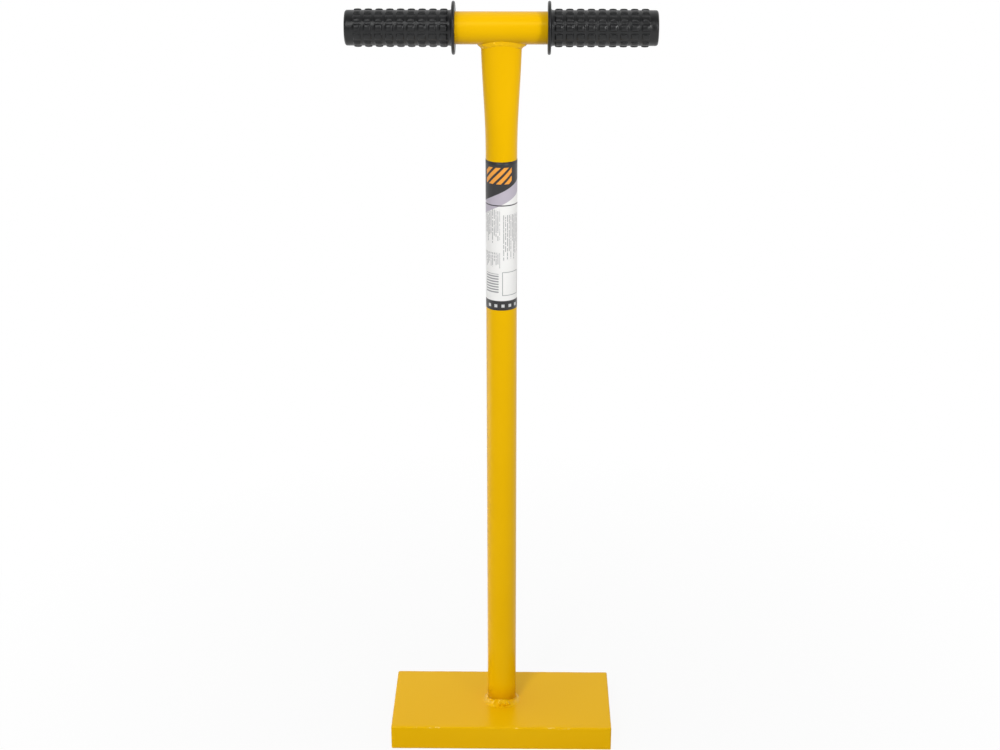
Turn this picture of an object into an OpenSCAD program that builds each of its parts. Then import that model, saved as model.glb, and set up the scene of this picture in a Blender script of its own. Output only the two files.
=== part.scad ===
// Hand tamper: a thick steel plate welded to a round tube shaft, with a T handle and push-on grips.
// Sizes are in millimetres and +Z is up. The origin is the middle of the tamping face, and the
// handle runs along X. The shaft's upper end is pressed oval and coped to the handle tube.

/* [Base plate] */
// Width of the plate, along the handle
plate_w = 260; // [180:1:360]
// Depth of the plate, front to back
plate_d = 125; // [90:1:260]
// Thickness of the plate
plate_t = 30; // [15:1:45]
// Radius of the plate's four upright corners
plate_corner_r = 2; // [2:0.25:10]
// Radius of the edges round the plate's upper and lower faces
plate_edge_r = 1.5; // [0.5:0.25:2]

/* [Shaft] */
// Height of the handle's axis above the tamping face
handle_h = 840; // [600:5:1200]
// Outside diameter of the shaft tube
shaft_d = 33.7; // [28:0.1:38]
// Wall of the shaft tube
shaft_wall = 2; // [1:0.25:3]
// Width across the shaft's pressed end where it reaches the handle's axis
press_w = 43.2; // [38:0.2:46]
// Length from the handle's axis down to where the tube is round
press_len = 132; // [60:1:180]

/* [Handle tube] */
// Length of the handle tube
crossbar_len = 316; // [260:1:420]
// Outside diameter of the handle tube
crossbar_d = 33.7; // [28:0.1:40]
// Wall of the handle tube
crossbar_wall = 2; // [1:0.25:3]
// Bare length of the handle tube between the grips' flanges
handle_bare = 96; // [80:1:140]

/* [Grips] */
// Thickness of the closed end
grip_end_t = 4; // [2:0.5:8]
// Rubber wall between the pads
grip_wall = 1.3; // [1.2:0.1:3]
// Radius of the rim at the closed end
grip_rim_r = 2.5; // [1:0.25:2.5]
// Diameter of the hand guard flange
flange_d = 55; // [46:0.2:64]
// Thickness of the flange
flange_t = 3.4; // [1.6:0.2:4]
// Radius of the fillet between the sleeve and the flange
flange_fillet_r = 2.4; // [1:0.2:4]
// Pads in each row along the grip
pads_long = 9; // [6:1:11]
// Rows of pads round the grip
pads_round = 12; // [8:1:14]
// Height of a pad
pad_h = 1.5; // [0.8:0.05:2]
// Width of the ring grooves between pads
pad_ring_groove = 2.8; // [1.8:0.1:3.5]
// Width of the long grooves between rows of pads
pad_row_groove = 2.2; // [1.8:0.1:3]
// How far a pad's sides lean in from foot to top
pad_draft = 0.8; // [0.2:0.1:0.8]
// Plain length at the closed end
grip_plain_end = 9.2; // [5:0.2:16]
// Plain collar between the last pads and the flange face
grip_collar = 7.3; // [6.8:0.1:14]
// Turn of the front row of pads above the horizontal, in degrees
grip_turn = 10; // [0:1:30]

/* [Welds] */
// Leg of the fillet weld round the shaft's foot
foot_weld_leg = 6; // [4:0.5:9]
// Leg of the fillet weld under the handle tube
handle_weld_leg = 5; // [3.5:0.5:6]
// Ripples in each weld bead
weld_ripples = 24; // [16:1:32]
// Depth of the dips between ripples
weld_ripple_depth = 0.8; // [0.2:0.1:1.2]

/* [Label] */
// Height of the wrapped label
label_h = 166; // [80:1:220]
// Thickness of the label
label_t = 0.2; // [0.1:0.05:0.5]
// Width of the label's open seam, at the back
label_seam = 3; // [1:0.5:20]
// Distance from the pressed stretch down to the label's upper edge
label_gap = 6.4; // [4:0.2:60]

/* [Hidden] */

$fn = 180;
// Overrun of every cut
cut = 1;
// Step that the press leaves in the tube where the pressing starts
press_step = 0.03;
// Gap of the rubber on the tube, and glue line under the label
grip_fit = 0.05;
label_glue = 0.05;

paint = "#f2b90c";
rubber = "#2f3133";
label_paper = "#e4e2df";

shaft_r = shaft_d / 2;
crossbar_r = crossbar_d / 2;
shaft_girth = PI * shaft_d;

// Levels of the lower end of the pressing and of the label's lower edge
press_z = handle_h - press_len;
label_z = press_z - label_gap - label_h;

// Steps round the pressed end and the welds, and rings along the pressing
ring_steps = 4 * weld_ripples;
press_rings = 14;

// Grip sleeve and its pads, measured from the closed end along the grip
grip_len = (crossbar_len - handle_bare) / 2 + grip_end_t;
sleeve_bore_r = crossbar_r + grip_fit;
sleeve_r = sleeve_bore_r + grip_wall;
pad_field = grip_len - grip_plain_end - grip_collar;
pad_len = (pad_field - (pads_long - 1) * pad_ring_groove) / pads_long;
pad_pitch = pad_len + pad_ring_groove;
pad_w = 2 * PI * sleeve_r / pads_round - pad_row_groove;
grip_end_x = crossbar_len / 2 + grip_end_t;

// Bulge of a weld bead, as a share of the way from its chord's middle out from the corner
weld_bulge_share = 0.28;
// Places of a bead's middle points along its chord
weld_chord_shares = [0.25, 0.5, 0.75];

// Smooth step from 0 to 1
function ease(t) = (1 - cos(180 * t)) / 2;

// Length round an oval of the given half axes, by Ramanujan's formula
function oval_girth(a, b) = PI * (3 * (a + b) - sqrt((3 * a + b) * (a + 3 * b)));

// Half depth at which an oval of half width a keeps the tube's girth, by halving the interval
function oval_half_depth(a, low = 0, high = shaft_r, halvings = 24) =
    let (middle = (low + high) / 2)
    halvings == 0 ? middle
        : oval_girth(a, middle) > shaft_girth ? oval_half_depth(a, low, middle, halvings - 1)
        : oval_half_depth(a, middle, high, halvings - 1);

// Half axes of the shaft's outside at height z, in the pressed stretch
function press_axes(z) =
    let (a = shaft_r + (press_w / 2 - shaft_r) * ease((z - press_z) / press_len))
    [a, oval_half_depth(a)];

// Point i round the pressed end at height z, inset from its outside
function press_point(i, z, inset = 0) =
    let (axes = press_axes(z), turn = 360 * i / ring_steps)
    [(axes[0] - inset) * cos(turn), (axes[1] - inset) * sin(turn), z];

// Height where line i of the pressed end meets the handle tube's skin, by repeated steps
function seam_z(i, z = handle_h - crossbar_r, rounds = 6) =
    rounds == 0 ? z
        : let (y = press_point(i, z, -press_step)[1])
            seam_z(i, handle_h - sqrt(pow(crossbar_r, 2) - pow(y, 2)), rounds - 1);

// Depth of the dip at step i of a bead: none at the middle of a ripple
function ripple_dip(i) = weld_ripple_depth * (1 - abs(sin(180 * weld_ripples * i / ring_steps)));

// Points of a bead's face between its toes, bulged away from the corner
function bead_middle(corner, toe, end) = [
    for (share = weld_chord_shares)
        let (chord = toe + (end - toe) * share,
            bulge = weld_bulge_share * 4 * share * (1 - share))
        chord + (chord - corner) * bulge
];

// Closed ring: each section is a polygon with the same number of points, one section a step
module ring_solid(sections) {
    steps = len(sections);
    sides = len(sections[0]);
    polyhedron(
        points = [for (section = sections) each section],
        faces = [
            for (i = [0 : steps - 1], j = [0 : sides - 1])
                let (next_i = (i + 1) % steps, next_j = (j + 1) % sides,
                    a = i * sides + j, b = i * sides + next_j,
                    c = next_i * sides + next_j, d = next_i * sides + j)
                each [[a, b, c], [a, c, d]]
        ]
    );
}

// Rectangle with round corners, about the origin
module round_rect(w, h, r) {
    square([w - 2 * r, h], center = true);
    square([w, h - 2 * r], center = true);
    for (x = [-1, 1], y = [-1, 1])
        translate([x * (w / 2 - r), y * (h / 2 - r)])
            circle(r);
}

// Round bar along X, about the handle's axis
module handle_bar(r, len) {
    translate([0, 0, handle_h])
        rotate([0, 90, 0])
            cylinder(r = r, h = len, center = true);
}

module base_plate() {
    color(paint)
        translate([0, 0, plate_t / 2])
            intersection() {
                linear_extrude(plate_t, center = true)
                    round_rect(plate_w, plate_d, plate_corner_r);
                rotate([90, 0, 0])
                    linear_extrude(plate_d, center = true)
                        round_rect(plate_w, plate_t, plate_edge_r);
                rotate([90, 0, 90])
                    linear_extrude(plate_w, center = true)
                        round_rect(plate_d, plate_t, plate_edge_r);
            }
}

// Pressed upper end of the shaft: round below, oval above, with an even wall
module pressed_end() {
    levels = [for (k = [0 : press_rings]) press_z + press_len * k / press_rings];
    ring_solid([
        for (i = [0 : ring_steps - 1]) [
            for (k = [0 : press_rings]) press_point(i, levels[k], -press_step),
            for (k = [press_rings : -1 : 0]) press_point(i, levels[k], shaft_wall - press_step)
        ]
    ]);
}

module shaft_tube() {
    color(paint) {
        translate([0, 0, plate_t])
            difference() {
                cylinder(r = shaft_r, h = press_z - plate_t);
                translate([0, 0, -cut])
                    cylinder(r = shaft_r - shaft_wall, h = press_z - plate_t + 2 * cut);
            }
        difference() {
            pressed_end();
            handle_bar(crossbar_r, press_w + 2 * cut);
        }
    }
}

module crossbar_tube() {
    color(paint)
        difference() {
            handle_bar(crossbar_r, crossbar_len);
            handle_bar(crossbar_r - crossbar_wall, crossbar_len + 2 * cut);
        }
}

// Half section of a grip without pads, with the closed end at the bottom
module sleeve_section() {
    difference() {
        union() {
            square([sleeve_r - grip_rim_r, grip_len]);
            translate([0, grip_rim_r])
                square([sleeve_r, grip_len - grip_rim_r]);
            translate([sleeve_r - grip_rim_r, grip_rim_r])
                circle(grip_rim_r);
            translate([0, grip_len - flange_t])
                square([flange_d / 2 - flange_t / 2, flange_t]);
            translate([flange_d / 2 - flange_t / 2, grip_len - flange_t / 2])
                circle(flange_t / 2);
            translate([0, grip_len - flange_t - flange_fillet_r])
                difference() {
                    square([sleeve_r + flange_fillet_r, flange_fillet_r]);
                    translate([sleeve_r + flange_fillet_r, 0])
                        circle(flange_fillet_r);
                }
        }
        translate([0, grip_end_t])
            square([sleeve_bore_r, grip_len]);
        translate([-grip_len, 0])
            square([grip_len, grip_len]);
    }
}

// Rings that stand pad_h above the sleeve, one for each ring of pads
module pad_rings() {
    rotate_extrude()
        for (k = [0 : pads_long - 1])
            translate([0, grip_plain_end + k * pad_pitch])
                polygon([
                    [sleeve_bore_r, 0],
                    [sleeve_r, 0],
                    [sleeve_r + pad_h, pad_draft],
                    [sleeve_r + pad_h, pad_len - pad_draft],
                    [sleeve_r, pad_len],
                    [sleeve_bore_r, pad_len]
                ]);
}

// Bars along the grip that part the rings into rows of pads
module pad_rows() {
    for (k = [0 : pads_round - 1])
        rotate(360 * k / pads_round)
            linear_extrude(grip_len)
                polygon([
                    [sleeve_bore_r, -pad_w / 2],
                    [sleeve_r, -pad_w / 2],
                    [sleeve_r + pad_h, -pad_w / 2 + pad_draft],
                    [sleeve_r + pad_h + cut, -pad_w / 2 + pad_draft],
                    [sleeve_r + pad_h + cut, pad_w / 2 - pad_draft],
                    [sleeve_r + pad_h, pad_w / 2 - pad_draft],
                    [sleeve_r, pad_w / 2],
                    [sleeve_bore_r, pad_w / 2]
                ]);
}

// Grip standing on its closed end, with a row of pads along +X
module grip() {
    rotate_extrude()
        sleeve_section();
    intersection() {
        pad_rings();
        pad_rows();
    }
}

// Grip pushed on the handle tube: side is -1 for the left end and 1 for the right end
module seated_grip(side) {
    color(rubber)
        translate([side * grip_end_x, 0, handle_h])
            rotate([-grip_turn, 0, 0])
                rotate([0, -90 * side, 0])
                    rotate(-90)
                        grip();
}

module grip_left() {
    seated_grip(-1);
}

module grip_right() {
    seated_grip(1);
}

// Section of the foot bead: a fillet that overlaps the shaft's skin
function foot_section(leg) =
    let (corner = [shaft_r, plate_t], toe = corner + [leg, 0], end = corner + [0, leg])
    concat([corner - [cut, 0], toe], bead_middle(corner, toe, end), [end - [cut, 0]]);

// Fillet bead round the shaft's foot, on the plate
module foot_weld() {
    color(paint)
        difference() {
            ring_solid([
                for (i = [0 : ring_steps - 1])
                    let (turn = 360 * i / ring_steps)
                    [
                        for (p = foot_section(foot_weld_leg - ripple_dip(i)))
                            [p[0] * cos(turn), p[0] * sin(turn), p[1]]
                    ]
            ]);
            translate([0, 0, plate_t - cut])
                cylinder(r = shaft_r, h = foot_weld_leg + 2 * cut);
        }
}

// Point of the handle tube: distance x along it and distance u round its skin from its underside,
// sunk below the skin
function skin_point(x, u, sunk = 0) =
    let (turn = u / crossbar_r * 180 / PI)
    [x, (crossbar_r - sunk) * sin(turn), handle_h - (crossbar_r - sunk) * cos(turn)];

// Section i of the handle bead, from inside the tube's skin down its face and back up the shaft
function handle_section(i, leg) =
    let (seam = seam_z(i),
        corner = press_point(i, seam, -press_step),
        end = press_point(i, seam - leg, -press_step),
        axes = press_axes(seam),
        out = [corner[0] / pow(axes[0], 2), corner[1] / pow(axes[1], 2)],
        step = out * leg / norm(out),
        x = corner[0] + step[0],
        u = asin(corner[1] / crossbar_r) * PI / 180 * crossbar_r + step[1])
    concat(
        [press_point(i, seam + cut, -press_step), skin_point(x, u, cut)],
        bead_middle(corner, skin_point(x, u), end),
        [end]
    );

// Fillet bead in the corner between the shaft's pressed end and the handle tube
module handle_weld() {
    color(paint)
        difference() {
            ring_solid([for (i = [0 : ring_steps - 1]) handle_section(i, handle_weld_leg - ripple_dip(i))]);
            handle_bar(crossbar_r, press_w + 4 * handle_weld_leg);
        }
}

// Label wrapped round the shaft, with its seam at the back
module label_wrap() {
    inner_r = shaft_r + label_glue;
    seam_turn = label_seam / inner_r * 180 / PI;
    color(label_paper)
        translate([0, 0, label_z])
            rotate(90 + seam_turn / 2)
                rotate_extrude(angle = 360 - seam_turn)
                    translate([inner_r, 0])
                        square([label_t, label_h]);
}

base_plate();
shaft_tube();
crossbar_tube();
grip_left();
grip_right();
foot_weld();
handle_weld();
label_wrap();
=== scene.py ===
"""Looks of a hand tamper: painted steel plate, shaft and T handle, weld beads, rubber grips and a label.

Lengths are in metres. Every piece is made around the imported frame, from the boxes of its nodes.
"""

import math

import bpy
from mathutils import Matrix, Vector, noise


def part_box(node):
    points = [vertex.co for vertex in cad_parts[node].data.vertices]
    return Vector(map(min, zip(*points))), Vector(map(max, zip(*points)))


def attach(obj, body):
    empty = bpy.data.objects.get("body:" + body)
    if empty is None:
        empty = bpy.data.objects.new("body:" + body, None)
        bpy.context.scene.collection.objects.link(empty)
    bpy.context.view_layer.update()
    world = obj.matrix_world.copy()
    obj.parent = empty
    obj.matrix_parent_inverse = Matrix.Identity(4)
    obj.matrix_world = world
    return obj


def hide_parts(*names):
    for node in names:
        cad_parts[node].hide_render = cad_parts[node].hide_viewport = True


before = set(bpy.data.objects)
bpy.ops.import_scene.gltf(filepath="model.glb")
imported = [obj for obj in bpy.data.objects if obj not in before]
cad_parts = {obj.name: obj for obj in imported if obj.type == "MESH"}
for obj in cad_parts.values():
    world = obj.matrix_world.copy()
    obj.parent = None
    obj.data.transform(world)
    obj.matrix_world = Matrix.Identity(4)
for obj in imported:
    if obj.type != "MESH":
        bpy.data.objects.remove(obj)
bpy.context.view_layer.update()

MM = 0.001

# Camera: place, and turns in degrees, with the lens in millimetres on a sensor of SENSOR_W
CAMERA_AT = (0.0234, -1.7537, 1.1555)
CAMERA_PITCH = 21.826
CAMERA_YAW = -0.823
CAMERA_ROLL = -0.06
CAMERA_LENS = 60.72
SENSOR_W = 36.0

# Plate
plate_low, plate_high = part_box("base_plate")
PLATE_EDGE_R = 1.5 * MM
PLATE_CELL = 5 * MM
PLATE_EDGE_STEPS = 3
PLATE_WAVE = 0.06 * MM
PLATE_EDGE_WAVE = 0.25 * MM
PLATE_NICK = 0.9 * MM
# Width of the band along the plate's upper edges that gets painted highlight flecks
GLINT_EDGE_W = 1.8 * MM
PLATE_WAVE_SCALE = 13
PLATE_ROUGH_SCALE = 120
PLATE_FINE_SCALE = 310
PLATE_FINE_SHARE = 0.6
PLATE_NICK_SCALE = 75
PLATE_NICK_FROM = 0.12
PLATE_NICK_SPAN = 0.3
PLATE_EDGE_BLEND = 4
PLATE_UNDER = -0.9

# Shaft and its pressed upper end
shaft_low, shaft_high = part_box("shaft_tube")
bar_low, bar_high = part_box("crossbar_tube")
SHAFT_R = shaft_high.y
SHAFT_WALL = 2 * MM
SHAFT_GIRTH = 2 * math.pi * SHAFT_R
PRESS_W = 43.2 * MM
PRESS_LEN = 132 * MM
BAR_R = bar_high.y
BAR_Z = (bar_low.z + bar_high.z) / 2
BAR_WALL = 2 * MM
PRESS_Z = BAR_Z - PRESS_LEN
ROUND_STEPS = 144
SHAFT_STRAIGHT_STEPS = 24
PRESS_STEPS = 40

# Grips, measured from the closed end
grip_low, grip_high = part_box("grip_right")
GRIP_LEN = grip_high.x - grip_low.x
GRIP_END_T = grip_high.x - bar_high.x
GRIP_RIM_R = 2.5 * MM
GRIP_RIM_STEPS = 8
GRIP_END_RINGS = (1.5 * MM, 6 * MM, 11 * MM)
GRIP_END_EDGE = 0.8 * MM
BORE_CHAMFER = 0.4 * MM
GRIP_WALL = 1.3 * MM
GRIP_BORE_R = BAR_R + 0.05 * MM
SLEEVE_R = GRIP_BORE_R + GRIP_WALL
FLANGE_R = (grip_high.z - grip_low.z) / 2
FLANGE_T = 3.4 * MM
FLANGE_FILLET_R = 2.4 * MM
PADS_LONG = 9
PADS_ROUND = 12
PAD_H = 1.5 * MM
PAD_CROWN_SHARE = 0.25
PAD_RING_GROOVE = 2.8 * MM
PAD_ROW_GROOVE = 2.2 * MM
PAD_RAMP = 1.0 * MM
PAD_RAMP_STEPS = 5
PAD_TOP_STEPS = 4
GRIP_PLAIN_END = 9.2 * MM
GRIP_COLLAR = 7.3 * MM
GRIP_TURN = 10

# Welds. Leg shares are the mean, the slow wander and the scallops, as shares of the leg
foot_low, foot_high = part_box("foot_weld")
FOOT_LEG = foot_high.x - SHAFT_R
HANDLE_LEG = 5 * MM
WELD_STEPS = 384
WELD_FACE_STEPS = 12
WELD_RIPPLES = 24
WELD_SKEW_SHARE = 0.55
WELD_DRIFT_SHARE = 0.6
WELD_DRIFT_SCALE = 2.1
WELD_ROOT = 1 * MM
LUMP_SCALE = 4.2
LUMP_ACROSS_SCALE = 1.7
LUMP_FULL = 0.5
FOOT_SEED = 3.1
FOOT_WANDER_SEED = 4.2
FOOT_WANDER_SCALE = 2.3
FOOT_LEG_SHARES = (0.82, 0.18, 0.1)
FOOT_HIGH_SHARES = (0.7, -0.16, 0.1)
HANDLE_SEED = 8.3
HANDLE_WANDER_SEED = 7.7
HANDLE_WANDER_SCALE = 1.9
HANDLE_LEG_SHARES = (0.88, 0.12, 0.06)
HANDLE_DROP_SHARES = (0.9, -0.12, 0.06)
FOOT_BULGE_SHARE = -0.1
FOOT_SIDE_BULGE_SHARE = -0.38
FOOT_RIPPLE_SHARE = 0.06
FOOT_LUMP_SHARE = 0.16
FOOT_SIDE_LUMP_SHARE = 0.03
FOOT_FRONT_RISE = 5.5 * MM
FOOT_FRONT_CUT_SHARE = 0.25
FOOT_DROPS = ((-97, 0.55), (-80, 0.45), (-67, 0.5))
FOOT_DROP_SHARE = 0.78
FOOT_DROP_TURN = 3.6
FOOT_DROP_ACROSS = 0.16
HANDLE_BULGE_SHARE = -0.05
HANDLE_FRONT_BULGE_SHARE = 0.02
HANDLE_RIPPLE_SHARE = 0.06
HANDLE_LUMP_SHARE = 0.2
HANDLE_FRONT_SHARE = 0.1
HANDLE_RIGHT_SHARE = 0.2

# Label
label_low, label_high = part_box("label_wrap")
LABEL_R = label_high.x
LABEL_T = 0.2 * MM
LABEL_SEAM = 3 * MM
LABEL_H = label_high.z - label_low.z
LABEL_STEPS = 160
LABEL_LEVELS = 40
PRINT_SOFT = 0.12
# Blocks of bars on the label in millimetres: sides u0 and u1, top v0 and bottom v1, and a seed
PRINT_BLOCKS = ((-22, -1.5, 52, 92, 1.0), (2, 23, 58, 112, 5.0), (-22, -1.5, 100, 118, 9.0))
PRINT_BAR_PITCH = 2.1
PRINT_BAR_W = 0.8
PRINT_RAGGED_SHARE = 0.45
PRINT_BREAK_STEP = 7.3
PRINT_BREAK_SCALE = 0.55

# Paint: hue and gloss drift slowly between a low and a high value
PAINT_DRIFT_SCALE = 9
PAINT_LOW = (0.825, 0.461, 0.0, 1)
PAINT_HIGH = (0.845, 0.476, 0.001, 1)
PAINT_SHEEN_TINT = (1.0, 0.86, 0.2, 1)
PAINT_PEEL_SCALE = 520
PAINT_SWELL_SCALE = 60
PAINT_ROUGH = (0.275, 0.295)
PAINT_SHINE = 0.22
WELD_PAINT_ROUGH = (0.2, 0.23)
WELD_PAINT_SHINE = 0.6
# Painted highlights: colour, size and stretch of the pale flecks standing for glints on the plate's upper
# edges
PAINTED_GLINT_COLOUR = (0.92, 0.6, 0.1, 1)
GLINT_SCALE = 190
GLINT_STRETCH = (0.55, 1.0, 1.0)

# Floor
FLOOR_HALF = 12.0
FLOOR_SHADE_R = 0.15
FLOOR_WHITE_R = 0.8
FLOOR_NEAR_WHITE = 0.93

# Studio: light of the room from each side, and what shows of it in reflections before and behind the tool
ROOM_LEFT = 0.71
ROOM_RIGHT = 0.6
ROOM_FRONT = 0.04
ROOM_BACK = 1.0
ROOM_BLEND = 0.35

# Soft boxes: name, place, aim, size, watts and spread in degrees
SOFTBOXES = (
    ("key_softbox", (-0.75, -2.0, 2.0), (0, 0, 0), (0.4, 0.4), 1.4, 45),
    ("left_softbox", (-1.2, -2.0, 0.7), (0, 0, 0.3), (1.0, 1.0), 1.0, 180),
    ("front_softbox", (-0.1, -1.5, 2.2), (0, 0, 0.84), (0.5, 0.3), 0.5, 60),
    ("right_softbox", (1.4, -1.7, 1.6), (0, 0, 0.86), (0.4, 0.4), 1.1, 38),
    ("rim_softbox", (-0.8, 0.2, 0.12), (0, 0, 0.35), (0.5, 0.25), 0.8, 180),
)


def smooth(t):
    """Smooth step from 0 to 1."""
    t = min(1.0, max(0.0, t))
    return t * t * (3 - 2 * t)


def ease(t):
    """Half a cosine wave from 0 to 1."""
    return (1 - math.cos(math.pi * min(1.0, max(0.0, t)))) / 2


def make_object(name, points, faces, material, node):
    """Smooth shaded mesh that rides on the tool and stands for a CAD node."""
    mesh = bpy.data.meshes.new(name)
    mesh.from_pydata(points, [], faces)
    mesh.validate()
    mesh.polygons.foreach_set("use_smooth", [True] * len(mesh.polygons))
    mesh.materials.append(material)
    piece = bpy.data.objects.new(name, mesh)
    bpy.context.scene.collection.objects.link(piece)
    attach(piece, "root")
    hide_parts(node)
    return piece


def ring_faces(rows, sides, closed):
    """Quads between rings of points. A closed set joins its last ring to its first."""
    faces = []
    for row in range(rows if closed else rows - 1):
        here, there = row * sides, (row + 1) % rows * sides
        for side in range(sides):
            other = (side + 1) % sides
            faces.append((here + side, here + other, there + other, there + side))
    return faces


def turned(faces):
    """The same faces, looking the other way."""
    return [face[::-1] for face in faces]


# Oval of the pressed end


def oval_girth(a, b):
    """Length round an oval of the given half axes, by Ramanujan's formula."""
    return math.pi * (3 * (a + b) - math.sqrt((3 * a + b) * (a + 3 * b)))


def oval_half_depth(a):
    """Half depth at which an oval of half width a keeps the tube's girth."""
    low, high = 0.0, SHAFT_R
    for _ in range(30):
        middle = (low + high) / 2
        if oval_girth(a, middle) > SHAFT_GIRTH:
            high = middle
        else:
            low = middle
    return (low + high) / 2


def press_axes(z):
    """Half axes of the shaft's outside at height z."""
    a = SHAFT_R + (PRESS_W / 2 - SHAFT_R) * ease((z - PRESS_Z) / PRESS_LEN)
    return a, oval_half_depth(a)


def shaft_point(turn, z, inset=0.0):
    """Point of the shaft's skin at a turn round it and a height, inset into its wall."""
    a, b = press_axes(z)
    return Vector(((a - inset) * math.cos(turn), (b - inset) * math.sin(turn), z))


def seam_z(turn, inset=0.0):
    """Height where a line up the shaft meets the handle tube's skin."""
    z = BAR_Z - BAR_R
    for _ in range(6):
        y = shaft_point(turn, z, inset).y
        z = BAR_Z - math.sqrt(BAR_R**2 - y**2)
    return z


# Pieces


def edge_lines(half):
    """Grid lines across a plate face: even in the middle, turned by even angles round the edges."""
    flat = half - PLATE_EDGE_R
    cells = max(1, round(2 * flat / PLATE_CELL))
    middle = [-flat + 2 * flat * k / cells for k in range(cells + 1)]
    turns = [math.pi / 4 * k / PLATE_EDGE_STEPS for k in range(1, PLATE_EDGE_STEPS + 1)]
    edge = [flat + PLATE_EDGE_R * math.tan(turn) for turn in turns]
    return [-x for x in reversed(edge)] + middle + edge


def plate_point(p, half):
    """Point of the rounded plate for a point of its sharp box, with the unevenness of rolled stock."""
    core = Vector([max(-h + PLATE_EDGE_R, min(h - PLATE_EDGE_R, x)) for x, h in zip(p, half)])
    out = (p - core).normalized()
    edge_share = smooth((1 - max(abs(x) for x in out)) * PLATE_EDGE_BLEND)
    swell = noise.noise(p * PLATE_WAVE_SCALE) * PLATE_WAVE
    fine = PLATE_FINE_SHARE * noise.noise(p * PLATE_FINE_SCALE)
    rough = (noise.noise(p * PLATE_ROUGH_SCALE) + fine) * PLATE_EDGE_WAVE
    chance = noise.noise(p * PLATE_NICK_SCALE)
    nick = PLATE_NICK * smooth((chance - PLATE_NICK_FROM) / PLATE_NICK_SPAN)
    lift = min(0.0, swell * (1 - edge_share) - PLATE_WAVE / 2 + (rough - nick) * edge_share)
    if out.z < PLATE_UNDER:
        lift = 0.0
    return core + out * (PLATE_EDGE_R + lift)


def build_plate(material):
    half = (plate_high - plate_low) / 2
    centre = (plate_high + plate_low) / 2
    lines = [edge_lines(h) for h in half]
    index, points, faces = {}, [], []

    def corner(p):
        key = tuple(round(x * 1e7) for x in p)
        if key not in index:
            index[key] = len(points)
            points.append(centre + plate_point(Vector(p), half))
        return index[key]

    for axis in range(3):
        u_axis, v_axis = (axis + 1) % 3, (axis + 2) % 3
        for side in (-1, 1):
            for u0, u1 in zip(lines[u_axis], lines[u_axis][1:]):
                for v0, v1 in zip(lines[v_axis], lines[v_axis][1:]):
                    face = []
                    for u, v in ((u0, v0), (u1, v0), (u1, v1), (u0, v1)):
                        p = [0.0, 0.0, 0.0]
                        p[axis], p[u_axis], p[v_axis] = side * half[axis], u, v
                        face.append(corner(p))
                    faces.append(face if side > 0 else face[::-1])
    return make_object("plate", points, faces, material, "base_plate")


def build_shaft(material):
    turns = [2 * math.pi * k / ROUND_STEPS for k in range(ROUND_STEPS)]
    foot = plate_high.z
    straight = [foot + (PRESS_Z - foot) * k / SHAFT_STRAIGHT_STEPS for k in range(SHAFT_STRAIGHT_STEPS)]
    rows = []
    for inset in (0.0, SHAFT_WALL):
        skin = [[shaft_point(turn, z, inset) for turn in turns] for z in straight]
        for k in range(PRESS_STEPS + 1):
            rise = k / PRESS_STEPS
            skin.append(
                [shaft_point(t, PRESS_Z + (seam_z(t, inset) - PRESS_Z) * rise, inset) for t in turns]
            )
        rows += skin if inset == 0.0 else skin[::-1]
    points = [p for row in rows for p in row]
    return make_object(
        "shaft", points, ring_faces(len(rows), ROUND_STEPS, True), material, "shaft_tube"
    )


def build_crossbar(material):
    half = bar_high.x
    stations = [-half + 2 * half * k / SHAFT_STRAIGHT_STEPS for k in range(SHAFT_STRAIGHT_STEPS + 1)]
    sections = [(x, BAR_R) for x in stations] + [(x, BAR_R - BAR_WALL) for x in reversed(stations)]
    points = []
    for x, r in sections:
        for k in range(ROUND_STEPS):
            turn = 2 * math.pi * k / ROUND_STEPS
            points.append(Vector((x, r * math.sin(turn), BAR_Z + r * math.cos(turn))))
    faces = turned(ring_faces(len(sections), ROUND_STEPS, True))
    return make_object("crossbar", points, faces, material, "crossbar_tube")


def pad_lines(pitch, pad, offset):
    """Stations across one pad and the groove after it: place, share of the pad's side, share of its crown."""
    lines = []
    for k in range(PAD_RAMP_STEPS + 1):
        share = k / PAD_RAMP_STEPS
        lines.append((offset + PAD_RAMP * share, smooth(share), 0.0))
    flat = pad - 2 * PAD_RAMP
    for k in range(1, PAD_TOP_STEPS):
        share = k / PAD_TOP_STEPS
        lines.append((offset + PAD_RAMP + flat * share, 1.0, 4 * share * (1 - share)))
    lines += [(2 * offset + pad - x, side, crown) for x, side, crown in lines[PAD_RAMP_STEPS::-1]]
    lines.append((offset + (pad + pitch) / 2, 0.0, 0.0))
    return lines


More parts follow.
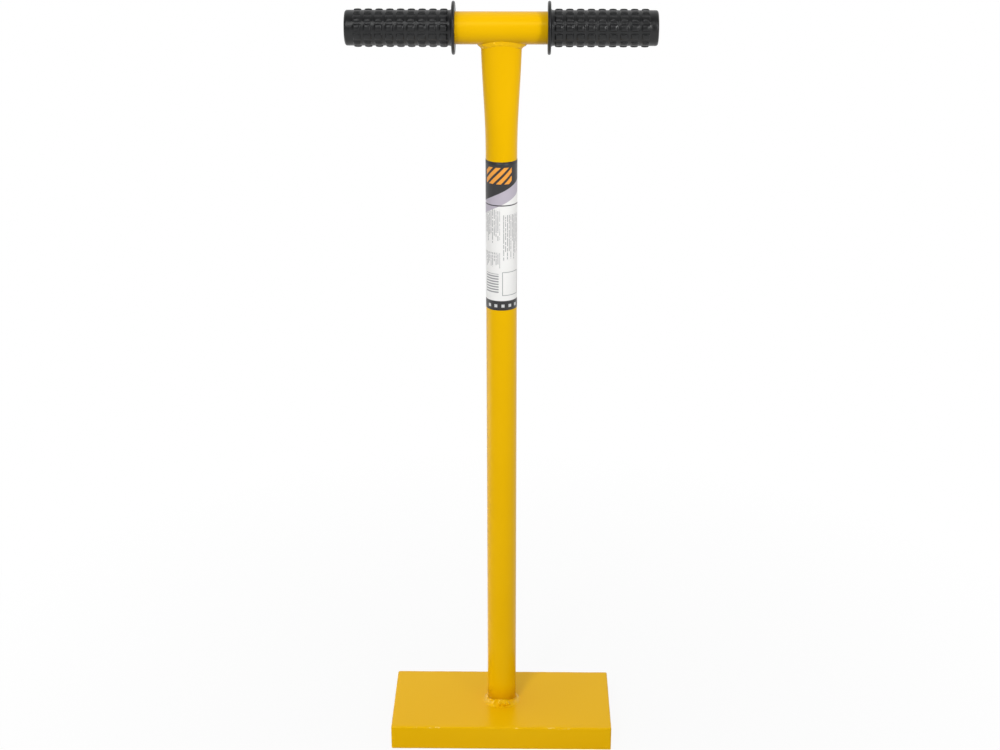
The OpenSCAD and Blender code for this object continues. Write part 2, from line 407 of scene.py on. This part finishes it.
def grip_sections():
    """Stations along a grip from its closed end: distance, radius, and shares of pad side and crown."""
    profile = [(0.0, r) for r in GRIP_END_RINGS + (SLEEVE_R - GRIP_RIM_R - GRIP_END_EDGE,)]
    for k in range(GRIP_RIM_STEPS + 1):
        turn = math.pi / 2 * k / GRIP_RIM_STEPS
        profile.append((GRIP_RIM_R * (1 - math.cos(turn)), SLEEVE_R - GRIP_RIM_R * (1 - math.sin(turn))))
    profile.append(((GRIP_RIM_R + GRIP_PLAIN_END) / 2, SLEEVE_R))
    sections = [(x, r, 0.0, 0.0) for x, r in profile]
    field = GRIP_LEN - GRIP_PLAIN_END - GRIP_COLLAR
    pad = (field - (PADS_LONG - 1) * PAD_RING_GROOVE) / PADS_LONG
    pitch = pad + PAD_RING_GROOVE
    for k in range(PADS_LONG):
        for x, side, crown in pad_lines(pitch, pad, GRIP_PLAIN_END + k * pitch):
            sections.append((x, SLEEVE_R, side, crown))
    sections.pop()
    profile = []
    fillet_x = GRIP_LEN - FLANGE_T - FLANGE_FILLET_R
    for k in range(GRIP_RIM_STEPS + 1):
        turn = math.pi / 2 * k / GRIP_RIM_STEPS
        fillet_r = SLEEVE_R + FLANGE_FILLET_R * (1 - math.cos(turn))
        profile.append((fillet_x + FLANGE_FILLET_R * math.sin(turn), fillet_r))
    rim_r = FLANGE_T / 2
    for k in range(2 * GRIP_RIM_STEPS + 1):
        turn = math.pi * k / (2 * GRIP_RIM_STEPS)
        profile.append((GRIP_LEN - rim_r - rim_r * math.cos(turn), FLANGE_R - rim_r + rim_r * math.sin(turn)))
    profile.append((GRIP_LEN, GRIP_BORE_R + BORE_CHAMFER))
    profile.append((GRIP_LEN - BORE_CHAMFER, GRIP_BORE_R))
    profile.append((GRIP_END_T, GRIP_BORE_R))
    profile.append((GRIP_END_T, GRIP_END_RINGS[0]))
    return sections + [(x, r, 0.0, 0.0) for x, r in profile]


def build_grip(side, material):
    """Grip on the left (-1) or right (1) end: a moulded sleeve with rows of pads and a flange."""
    pitch = 2 * math.pi * SLEEVE_R / PADS_ROUND
    spread = []
    for k in range(PADS_ROUND):
        spread += pad_lines(pitch, pitch - PAD_ROW_GROOVE, (k - 0.5) * pitch + PAD_ROW_GROOVE / 2)
    front = math.radians(180 - GRIP_TURN)
    sections = grip_sections()
    points = []
    for x, r, along_side, along_crown in sections:
        for arc, round_side, round_crown in spread:
            crown = PAD_CROWN_SHARE * along_crown * round_crown
            high = r + PAD_H * ((1 - PAD_CROWN_SHARE) * along_side * round_side + crown)
            turn = front - arc / SLEEVE_R
            at = (side * (grip_high.x - x), high * math.cos(turn), BAR_Z + high * math.sin(turn))
            points.append(Vector(at))
    rows, sides = len(sections), len(spread)
    faces = ring_faces(rows, sides, False)
    for row, order in ((0, -1), (rows - 1, 1)):
        centre = len(points)
        points.append(Vector((side * (grip_high.x - sections[row][0]), 0, BAR_Z)))
        for k in range(sides):
            fan = (row * sides + k, row * sides + (k + 1) % sides, centre)
            faces.append(fan[::order])
    if side < 0:
        faces = turned(faces)
    name = "grip_moulding_right" if side > 0 else "grip_moulding_left"
    node = "grip_right" if side > 0 else "grip_left"
    return make_object(name, points, faces, material, node)


def ripple(step, across, seed):
    """Height of a bead's ripples, from 0 in a dip to 1, with crescents that lag at the bead's toes."""
    turn = 2 * math.pi * step / WELD_STEPS
    run = WELD_RIPPLES * step / WELD_STEPS - WELD_SKEW_SHARE * (2 * across - 1) ** 2
    around = Vector((WELD_DRIFT_SCALE * math.cos(turn), WELD_DRIFT_SCALE * math.sin(turn), seed))
    run += WELD_DRIFT_SHARE * noise.noise(around)
    phase = run % 1.0
    return math.sqrt(max(0.0, 1 - (2 * phase - 1) ** 2))


def bead_points(corner, toe, end, step, seed, bulge, ripples, lumps, drops=()):
    """Points of a bead's face from toe to end. Bulge, ripples and lumps are shares of half its width.

    Drops are places of single round lumps: degrees round the bead, and share of the way across it.
    """
    turn = 2 * math.pi * step / WELD_STEPS
    around = Vector((math.cos(turn), math.sin(turn), 0))
    run = (end - toe).normalized()
    out = (toe + end) / 2 - corner
    out = (out - run * out.dot(run)).normalized() * (end - toe).length / 2
    points = []
    for k in range(WELD_FACE_STEPS + 1):
        across = k / WELD_FACE_STEPS
        lump = noise.noise(around * LUMP_SCALE + Vector((0, 0, seed + across * LUMP_ACROSS_SCALE)))
        swell = bulge + ripples * (ripple(step, across, seed) - 0.5) + lumps * smooth(lump / LUMP_FULL)
        for drop_turn, drop_across in drops:
            away = (math.degrees(turn) - drop_turn + 180) % 360 - 180
            far = (away / FOOT_DROP_TURN) ** 2 + ((across - drop_across) / FOOT_DROP_ACROSS) ** 2
            swell += FOOT_DROP_SHARE * math.exp(-far / 2)
        points.append(toe.lerp(end, across) + out * 4 * across * (1 - across) * swell)
    return points


def varied(shares, wander, scallop):
    """Sum of the mean, the wander and the scallops of a leg."""
    return shares[0] + shares[1] * wander + shares[2] * scallop


def build_foot_bead(material):
    points = []
    for step in range(WELD_STEPS):
        turn = 2 * math.pi * step / WELD_STEPS
        out = Vector((math.cos(turn), math.sin(turn), 0))
        corner = out * SHAFT_R + Vector((0, 0, plate_high.z))
        wander = noise.noise(out * FOOT_WANDER_SCALE + Vector((0, 0, FOOT_WANDER_SEED)))
        scallop = ripple(step, 0.0, FOOT_SEED) - 0.5
        front = max(0.0, -out.y) ** 2
        leg = FOOT_LEG * (varied(FOOT_LEG_SHARES, wander, scallop) - FOOT_FRONT_CUT_SHARE * front)
        high = FOOT_LEG * varied(FOOT_HIGH_SHARES, wander, scallop) + FOOT_FRONT_RISE * front
        low = Vector((0, 0, WELD_ROOT))
        inner = corner - out * SHAFT_WALL / 2
        end = Vector((0, 0, high))
        points += [inner - low, corner + out * leg - low]
        points += bead_points(
            corner,
            corner + out * leg,
            corner + end,
            step,
            FOOT_SEED,
            FOOT_SIDE_BULGE_SHARE + (FOOT_BULGE_SHARE - FOOT_SIDE_BULGE_SHARE) * front,
            FOOT_RIPPLE_SHARE,
            FOOT_SIDE_LUMP_SHARE + (FOOT_LUMP_SHARE - FOOT_SIDE_LUMP_SHARE) * front,
            FOOT_DROPS,
        )
        points.append(inner + end)
    faces = turned(ring_faces(WELD_STEPS, WELD_FACE_STEPS + 4, True))
    return make_object("foot_bead", points, faces, material, "foot_weld")


def bar_skin(x, u, sunk=0.0):
    """Point of the handle tube at distance x along it and u round its skin from its underside."""
    turn = u / BAR_R
    return Vector((x, (BAR_R - sunk) * math.sin(turn), BAR_Z - (BAR_R - sunk) * math.cos(turn)))


def build_handle_bead(material):
    points = []
    for step in range(WELD_STEPS):
        turn = 2 * math.pi * step / WELD_STEPS
        z = seam_z(turn)
        corner = shaft_point(turn, z)
        a, b = press_axes(z)
        out = Vector((corner.x / a**2, corner.y / b**2)).normalized()
        around = Vector((math.cos(turn), math.sin(turn), HANDLE_WANDER_SEED))
        wander = noise.noise(around * HANDLE_WANDER_SCALE)
        scallop = ripple(step, 0.0, HANDLE_SEED) - 0.5
        leg = HANDLE_LEG * varied(HANDLE_LEG_SHARES, wander, scallop)
        leg *= HANDLE_FRONT_SHARE + (1 - HANDLE_FRONT_SHARE) * out.x**2
        leg *= 1 + HANDLE_RIGHT_SHARE * out.x
        drop = HANDLE_LEG * varied(HANDLE_DROP_SHARES, wander, scallop)
        x = corner.x + out.x * leg
        u = BAR_R * math.asin(corner.y / BAR_R) + out.y * leg
        points += [shaft_point(turn, z + WELD_ROOT, SHAFT_WALL / 2), bar_skin(x, u, WELD_ROOT)]
        points += bead_points(
            corner,
            bar_skin(x, u),
            shaft_point(turn, z - drop),
            step,
            HANDLE_SEED,
            HANDLE_FRONT_BULGE_SHARE + (HANDLE_BULGE_SHARE - HANDLE_FRONT_BULGE_SHARE) * out.x**2,
            HANDLE_RIPPLE_SHARE,
            HANDLE_LUMP_SHARE,
        )
        points.append(shaft_point(turn, z - drop, SHAFT_WALL / 2))
    faces = ring_faces(WELD_STEPS, WELD_FACE_STEPS + 4, True)
    return make_object("handle_bead", points, faces, material, "handle_weld")


def build_label(material):
    """Thin sleeve with an open seam at the back."""
    seam = LABEL_SEAM / LABEL_R
    start = math.pi / 2 + seam / 2
    sweep = 2 * math.pi - seam
    levels = [label_low.z + LABEL_H * k / LABEL_LEVELS for k in range(LABEL_LEVELS + 1)]
    outline = [(z, LABEL_R) for z in levels] + [(z, LABEL_R - LABEL_T) for z in reversed(levels)]
    points = []
    for k in range(LABEL_STEPS + 1):
        turn = start + sweep * k / LABEL_STEPS
        for z, r in outline:
            points.append(Vector((r * math.cos(turn), r * math.sin(turn), z)))
    sides = len(outline)
    faces = turned(ring_faces(LABEL_STEPS + 1, sides, False))
    faces.append(tuple(range(sides)))
    faces.append(tuple(range(LABEL_STEPS * sides, (LABEL_STEPS + 1) * sides))[::-1])
    return make_object("label_film", points, faces, material, "label_wrap")


# Materials


class Shader:
    """Short hand for building a node material: each method adds a node and returns its output."""

    def __init__(self, name):
        self.material = bpy.data.materials.new(name)
        self.material.use_nodes = True
        self.tree = self.material.node_tree
        self.surface = self.tree.nodes["Principled BSDF"]

    def add(self, kind, **settings):
        node = self.tree.nodes.new(kind)
        for key, value in settings.items():
            setattr(node, key, value)
        return node

    def link(self, source, socket):
        if hasattr(source, "links"):
            self.tree.links.new(source, socket)
        else:
            socket.default_value = source

    def set(self, name, value):
        self.link(value, self.surface.inputs[name])

    def math(self, operation, a, b=0.0):
        node = self.add("ShaderNodeMath", operation=operation)
        self.link(a, node.inputs[0])
        self.link(b, node.inputs[1])
        return node.outputs[0]

    def noise(self, where, scale, detail=2.0, roughness=0.5):
        node = self.add("ShaderNodeTexNoise")
        self.link(where, node.inputs["Vector"])
        node.inputs["Scale"].default_value = scale
        node.inputs["Detail"].default_value = detail
        node.inputs["Roughness"].default_value = roughness
        return node.outputs["Fac"]

    def mix(self, share, a, b):
        node = self.add("ShaderNodeMix", data_type="RGBA")
        self.link(share, node.inputs["Factor"])
        self.link(a, node.inputs["A"])
        self.link(b, node.inputs["B"])
        return node.outputs["Result"]

    def span(self, value, low, high, to_low=0.0, to_high=1.0):
        node = self.add("ShaderNodeMapRange")
        self.link(value, node.inputs["Value"])
        for name, number in zip(("From Min", "From Max", "To Min", "To Max"), (low, high, to_low, to_high)):
            node.inputs[name].default_value = number
        return node.outputs["Result"]

    def bump(self, height, strength, distance, under=None):
        node = self.add("ShaderNodeBump")
        node.inputs["Strength"].default_value = strength
        node.inputs["Distance"].default_value = distance
        self.link(height, node.inputs["Height"])
        if under is not None:
            self.link(under, node.inputs["Normal"])
        return node.outputs["Normal"]

    def place(self):
        return self.add("ShaderNodeTexCoord").outputs["Object"]


def enamel(name, rough, shine):
    """Shader and colour of glossy yellow enamel: slight orange peel, slow drift of hue and gloss."""
    s = Shader(name)
    where = s.place()
    drift = s.noise(where, PAINT_DRIFT_SCALE, 1)
    colour = s.mix(s.span(drift, 0.35, 0.65), PAINT_LOW, PAINT_HIGH)
    s.set("Base Color", colour)
    s.set("Roughness", s.span(drift, 0.35, 0.65, *rough))
    s.set("Specular IOR Level", shine)
    s.set("Specular Tint", PAINT_SHEEN_TINT)
    peel = s.bump(s.noise(where, PAINT_PEEL_SCALE, 2), 0.05, 0.2 * MM)
    s.set("Normal", s.bump(s.noise(where, PAINT_SWELL_SCALE, 2), 0.02, 0.5 * MM, peel))
    return s, colour


def tube_paint_material():
    return enamel("tube_enamel", PAINT_ROUGH, PAINT_SHINE)[0].material


def weld_paint_material():
    """Thicker, smoother paint that has run together on the beads."""
    return enamel("weld_enamel", WELD_PAINT_ROUGH, WELD_PAINT_SHINE)[0].material


def plate_paint_material():
    """Enamel with painted highlights: small pale flecks along the long upper edges stand for glints where the
    edges catch the light.
    """
    s, colour = enamel("plate_enamel", PAINT_ROUGH, PAINT_SHINE)
    where = s.place()
    split = s.add("ShaderNodeSeparateXYZ")
    s.link(where, split.inputs[0])
    deep = s.math("ABSOLUTE", split.outputs["Y"])
    outer = s.span(deep, plate_high.y - GLINT_EDGE_W, plate_high.y - GLINT_EDGE_W / 2)
    upper = s.span(split.outputs["Z"], plate_high.z - GLINT_EDGE_W, plate_high.z - GLINT_EDGE_W / 2)
    painted_glint = s.math("MULTIPLY", outer, upper)
    long_place = s.add("ShaderNodeVectorMath", operation="MULTIPLY")
    s.link(where, long_place.inputs[0])
    long_place.inputs[1].default_value = GLINT_STRETCH
    chance = s.noise(long_place.outputs[0], GLINT_SCALE, 4, 0.6)
    painted_glint = s.math("MULTIPLY", painted_glint, s.span(chance, 0.6, 0.64))
    # Painted highlights: pale glint flecks mixed into the base colour along the upper edges
    s.set("Base Color", s.mix(painted_glint, colour, PAINTED_GLINT_COLOUR))
    return s.material


def rubber_material():
    """Satin black moulded rubber with a fine grain."""
    s = Shader("black_rubber")
    where = s.place()
    cloud = s.noise(where, 45, 4)
    colour = s.mix(s.span(cloud, 0.3, 0.7), (0.0075, 0.0079, 0.0085, 1), (0.0125, 0.0129, 0.0137, 1))
    s.set("Base Color", colour)
    s.set("Roughness", s.span(s.noise(where, 220, 3), 0.3, 0.7, 0.3, 0.42))
    s.set("Specular IOR Level", 0.42)
    s.set("Normal", s.bump(s.noise(where, 1500, 3), 0.2, 0.15 * MM))
    return s.material


class Print:
    """Flat shapes of a printed label, as masks over u round the tube and v down it, in millimetres."""

    def __init__(self, s):
        self.s = s
        split = s.add("ShaderNodeSeparateXYZ")
        s.link(s.place(), split.inputs[0])
        turn = s.math("ARCTAN2", split.outputs["X"], s.math("MULTIPLY", split.outputs["Y"], -1.0))
        self.u = s.math("MULTIPLY", turn, LABEL_R / MM)
        self.v = s.math("MULTIPLY", s.math("SUBTRACT", label_high.z, split.outputs["Z"]), 1 / MM)

    def above(self, value, edge):
        """1 where value is over edge, with a soft border as ink has."""
        s = self.s
        return s.span(s.math("SUBTRACT", value, edge), -PRINT_SOFT, PRINT_SOFT)

    def both(self, *masks):
        result = masks[0]
        for mask in masks[1:]:
            result = self.s.math("MULTIPLY", result, mask)
        return result

    def outside(self, mask):
        return self.s.math("SUBTRACT", 1.0, mask)

    def band(self, value, low, high):
        return self.both(self.above(value, low), self.outside(self.above(value, high)))

    def patch(self, u0, u1, v0, v1):
        return self.both(self.band(self.u, u0, u1), self.band(self.v, v0, v1))

    def slant(self, slope):
        """v measured down from a line that falls by slope for each millimetre of u."""
        return self.s.math("SUBTRACT", self.v, self.s.math("MULTIPLY", self.u, slope))

    def stripes(self, value, pitch, width):
        """Even stripes across value."""
        part = self.s.math("FLOORED_MODULO", value, pitch)
        return self.band(part, PRINT_SOFT, PRINT_SOFT + width)

    def bars(self, u0, u1, v0, v1, pitch, width, seed):
        """Block of plain bars along the tube, with ragged ends and breaks."""
        s = self.s
        row = s.math("FLOOR", s.math("DIVIDE", self.u, pitch))
        where = s.add("ShaderNodeCombineXYZ")
        s.link(row, where.inputs["X"])
        where.inputs["Y"].default_value = seed
        chance = s.add("ShaderNodeTexWhiteNoise", noise_dimensions="2D")
        s.link(where.outputs[0], chance.inputs["Vector"])
        ragged = s.math("MULTIPLY", chance.outputs["Value"], (v1 - v0) * PRINT_RAGGED_SHARE)
        end = s.math("SUBTRACT", v1, ragged)
        along = s.add("ShaderNodeCombineXYZ")
        s.link(s.math("ADD", s.math("MULTIPLY", row, PRINT_BREAK_STEP), seed), along.inputs["X"])
        s.link(self.v, along.inputs["Y"])
        breaks = s.noise(along.outputs[0], PRINT_BREAK_SCALE, 1.0)
        ink = s.span(breaks, 0.36, 0.42)
        lines = self.both(self.stripes(self.u, pitch, width), ink)
        return self.both(lines, self.band(self.u, u0, u1), self.above(self.v, v0), self.above(end, self.v))


def label_material():
    """Semi gloss printed film with a plain design: dark head and foot, orange stripes, rows of grey bars."""
    s = Shader("printed_film")
    p = Print(s)
    paper, charcoal, orange = (0.88, 0.875, 0.86, 1), (0.03, 0.029, 0.03, 1), (0.9, 0.36, 0.045, 1)
    lavender, grey, pale = (0.5, 0.46, 0.53, 1), (0.3, 0.3, 0.31, 1), (0.6, 0.6, 0.6, 1)
    colour = paper
    for u0, u1, v0, v1, seed in PRINT_BLOCKS:
        block = p.bars(u0, u1, v0, v1, PRINT_BAR_PITCH, PRINT_BAR_W, seed)
        colour = s.mix(block, colour, grey)
    colour = s.mix(p.both(p.patch(-20, -3, 124, 146), p.stripes(p.v, 3.0, 1.5)), colour, grey)
    frame_line = p.both(p.patch(1, 22, 122, 149), p.outside(p.patch(1.7, 21.3, 122.7, 148.3)))
    colour = s.mix(frame_line, colour, grey)
    colour = s.mix(p.band(p.slant(-0.5), -1, 47), colour, lavender)
    head = p.outside(p.above(p.slant(-0.5), 33))
    colour = s.mix(head, colour, charcoal)
    flashes = p.both(p.patch(-19, 12, 6, 24), p.stripes(p.slant(-1.0), 9.0, 5.4))
    colour = s.mix(flashes, colour, orange)
    colour = s.mix(p.patch(-60, 60, 47, 48.2), colour, charcoal)
    foot = p.above(p.v, 155)
    colour = s.mix(foot, colour, charcoal)
    dots = p.both(p.patch(-20, 20, 159, 162.5), p.stripes(p.u, 8.0, 3.4))
    colour = s.mix(dots, colour, pale)
    s.set("Base Color", colour)
    where = s.place()
    s.set("Roughness", s.span(s.noise(where, 40, 2), 0.3, 0.7, 0.3, 0.4))
    s.set("Specular IOR Level", 0.4)
    s.set("Normal", s.bump(s.noise(where, 70, 2), 0.15, 0.3 * MM))
    return s.material


def floor_material():
    """White floor that keeps the object's shadow: lit for other rays, near white for the camera."""
    s = Shader("white_floor")
    s.set("Base Color", (0.55, 0.55, 0.55, 1))
    s.set("Roughness", 0.9)
    s.set("Specular IOR Level", 0.0)
    glow = s.add("ShaderNodeEmission")
    glow.inputs["Strength"].default_value = 1.0
    path = s.add("ShaderNodeLightPath")
    seen = s.math("MAXIMUM", path.outputs["Is Camera Ray"], path.outputs["Is Glossy Ray"])
    seen = s.math("MAXIMUM", seen, path.outputs["Is Transmission Ray"])
    away = s.add("ShaderNodeVectorMath", operation="LENGTH")
    s.link(s.place(), away.inputs[0])
    white = s.span(away.outputs["Value"], FLOOR_SHADE_R, FLOOR_WHITE_R, FLOOR_NEAR_WHITE, 1.0)
    blend = s.add("ShaderNodeMixShader")
    s.link(s.math("MULTIPLY", seen, white), blend.inputs["Fac"])
    s.link(s.surface.outputs[0], blend.inputs[1])
    s.link(glow.outputs[0], blend.inputs[2])
    s.link(blend.outputs[0], s.tree.nodes["Material Output"].inputs["Surface"])
    return s.material


# Stage


def build_floor():
    mesh = bpy.data.meshes.new("floor")
    corners = [(-1, -1), (1, -1), (1, 1), (-1, 1)]
    mesh.from_pydata([(x * FLOOR_HALF, y * FLOOR_HALF, 0.0) for x, y in corners], [], [(0, 1, 2, 3)])
    mesh.materials.append(floor_material())
    floor = bpy.data.objects.new("floor", mesh)
    bpy.context.scene.collection.objects.link(floor)


def add_softbox(name, at, aim, size, power, spread):
    light = bpy.data.lights.new(name, "AREA")
    light.shape = "RECTANGLE"
    light.size, light.size_y = size
    light.energy = power
    light.spread = math.radians(spread)
    lamp = bpy.data.objects.new(name, light)
    lamp.location = at
    lamp.rotation_euler = (Vector(aim) - Vector(at)).to_track_quat("-Z", "Y").to_euler()
    bpy.context.scene.collection.objects.link(lamp)


def build_world():
    """White to the camera, a white backdrop and dark front in reflections, softer as a light."""
    world = bpy.data.worlds.new("studio")
    bpy.context.scene.world = world
    world.use_nodes = True
    tree = world.node_tree
    background = tree.nodes["Background"]
    background.inputs["Color"].default_value = (1, 1, 1, 1)
    path = tree.nodes.new("ShaderNodeLightPath")
    place = tree.nodes.new("ShaderNodeTexCoord")
    split = tree.nodes.new("ShaderNodeSeparateXYZ")
    tree.links.new(place.outputs["Generated"], split.inputs[0])
    spans = {}
    for axis, low, high in (("X", ROOM_LEFT, ROOM_RIGHT), ("Y", ROOM_FRONT, ROOM_BACK)):
        span = tree.nodes.new("ShaderNodeMapRange")
        span.inputs["From Min"].default_value = -ROOM_BLEND
        span.inputs["From Max"].default_value = ROOM_BLEND
        span.inputs["To Min"].default_value = low
        span.inputs["To Max"].default_value = high
        tree.links.new(split.outputs[axis], span.inputs["Value"])
        spans[axis] = span.outputs["Result"]
    level = spans["X"]
    for ray, shown in (
        ("Is Glossy Ray", spans["Y"]),
        ("Is Transmission Ray", 1.0),
        ("Is Camera Ray", 1.0),
    ):
        choice = tree.nodes.new("ShaderNodeMix")
        tree.links.new(path.outputs[ray], choice.inputs["Factor"])
        for socket, value in (("A", level), ("B", shown)):
            if isinstance(value, float):
                choice.inputs[socket].default_value = value
            else:
                tree.links.new(value, choice.inputs[socket])
        level = choice.outputs["Result"]
    tree.links.new(level, background.inputs["Strength"])


def build_camera():
    pitch, yaw, roll = (math.radians(x) for x in (CAMERA_PITCH, CAMERA_YAW, CAMERA_ROLL))
    forward = Vector((math.sin(yaw) * math.cos(pitch), math.cos(yaw) * math.cos(pitch), -math.sin(pitch)))
    right = Vector((math.cos(yaw), -math.sin(yaw), 0.0))
    up = right.cross(forward)
    level = Matrix((right, up, -forward)).transposed()
    data = bpy.data.cameras.new("camera")
    data.sensor_width = SENSOR_W
    data.lens = CAMERA_LENS
    camera = bpy.data.objects.new("camera", data)
    camera.matrix_world = Matrix.Translation(CAMERA_AT) @ (level @ Matrix.Rotation(roll, 3, "Z")).to_4x4()
    bpy.context.scene.collection.objects.link(camera)
    bpy.context.scene.camera = camera


tube_paint = tube_paint_material()
weld_paint = weld_paint_material()
rubber = rubber_material()
build_plate(plate_paint_material())
build_shaft(tube_paint)
build_crossbar(tube_paint)
build_foot_bead(weld_paint)
build_handle_bead(weld_paint)
for grip_side in (-1, 1):
    build_grip(grip_side, rubber)
build_label(label_material())

build_floor()
build_world()
for softbox in SOFTBOXES:
    add_softbox(*softbox)
build_camera()
bpy.context.scene.view_settings.view_transform = "Standard"
